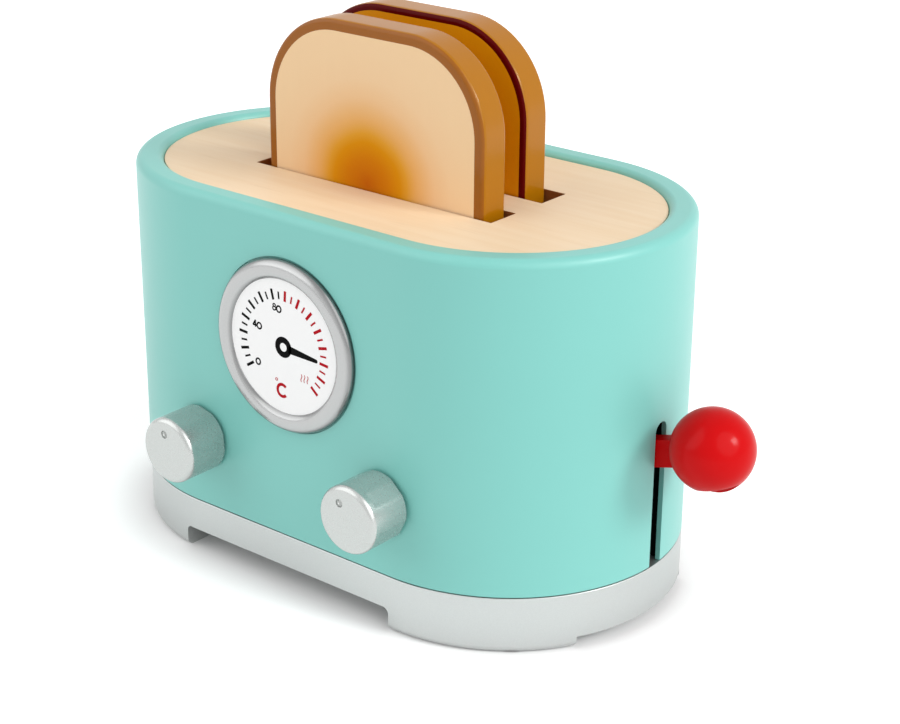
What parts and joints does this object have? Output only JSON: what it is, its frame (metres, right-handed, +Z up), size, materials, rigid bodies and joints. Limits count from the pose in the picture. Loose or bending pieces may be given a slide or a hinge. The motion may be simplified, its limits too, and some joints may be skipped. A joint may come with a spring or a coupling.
{
  "type": "toy toaster",
  "caption": "Wooden toy toaster with rounded ends, a printed dial, turning knobs and a side lever that pops two toy toast slices up.",
  "frame": {"origin": "on the resting plane, under the middle of the body's rounded outline", "axes": "+X towards the lever, -Y towards the dial and the knobs, +Z up"},
  "size_m": [0.22, 0.1256, 0.1696],
  "materials": {
    "teal_paint": "satin paint on wood",
    "silver_paint": "fine metallic paint on wood",
    "pale_beech": "clear matt lacquer",
    "raw_beech": "bare wood",
    "zinc_steel": "zinc plated",
    "printed_disc": "white with a printed scale",
    "red_plastic": "gloss",
    "felt": "pressed felt",
    "black_rubber": "matt",
    "white_nylon": "moulded",
    "toast_paint": "painted crumb and crust"
  },
  "bodies": {
    "housing": {"base_board": "silver_paint", "body_shell": "teal_paint", "dial_bezel": "silver_paint", "dial_face": "printed_disc", "guide_rod_front": "raw_beech", "guide_rod_rear": "raw_beech", "knob_washer_left": "felt", "knob_washer_right": "felt", "pivot_cheek_front": "raw_beech", "pivot_cheek_rear": "raw_beech", "pivot_pin": "zinc_steel", "plate_pillar_front_left": "raw_beech", "plate_pillar_front_right": "raw_beech", "plate_pillar_rear_left": "raw_beech", "plate_pillar_rear_right": "raw_beech", "press_buffer": "black_rubber", "rest_buffer": "black_rubber", "top_plate": "pale_beech", "wood_screws": "zinc_steel"},
    "lever": {"lever_bar": "red_plastic", "lever_ball": "red_plastic"},
    "toast_lift": {"lift_platform": "raw_beech", "guide_bush_front": "white_nylon", "guide_bush_rear": "white_nylon", "toast_rail_front": "raw_beech", "toast_rail_middle": "raw_beech", "toast_rail_rear": "raw_beech", "push_post": "raw_beech"},
    "slice_front": {"toast_front": "toast_paint"},
    "slice_rear": {"toast_rear": "toast_paint"},
    "left_knob": {"knob_left": "silver_paint", "knob_shaft_left": "zinc_steel", "knob_clip_left": "zinc_steel"},
    "right_knob": {"knob_right": "silver_paint", "knob_shaft_right": "zinc_steel", "knob_clip_right": "zinc_steel"}
  },
  "joints": [
    {"name": "lever_press", "type": "hinge", "parent": "housing", "child": "lever", "pos_m": [0.033, 0.0016, 0.039], "axis": [0, 1, 0], "range_deg": [0, 22]},
    {"name": "carriage_lift", "type": "slide", "parent": "housing", "child": "toast_lift", "axis": [0, 0, 1], "range_m": [0, 0.01323]},
    {"name": "slice_front_out", "type": "slide", "parent": "toast_lift", "child": "slice_front", "axis": [0, 0, 1], "range_m": [0, 0.06]},
    {"name": "slice_rear_out", "type": "slide", "parent": "toast_lift", "child": "slice_rear", "axis": [0, 0, 1], "range_m": [0, 0.06]},
    {"name": "knob_left_turn", "type": "hinge", "parent": "housing", "child": "left_knob", "pos_m": [-0.0366, -0.055, 0.0416], "axis": [0, -1, 0], "continuous": true},
    {"name": "knob_right_turn", "type": "hinge", "parent": "housing", "child": "right_knob", "pos_m": [0.0366, -0.055, 0.0416], "axis": [0, -1, 0], "continuous": true}
  ],
  "couplings": [
    {"joint": "carriage_lift", "follows": "lever_press", "m_per_rad": 0.034183}
  ]
}
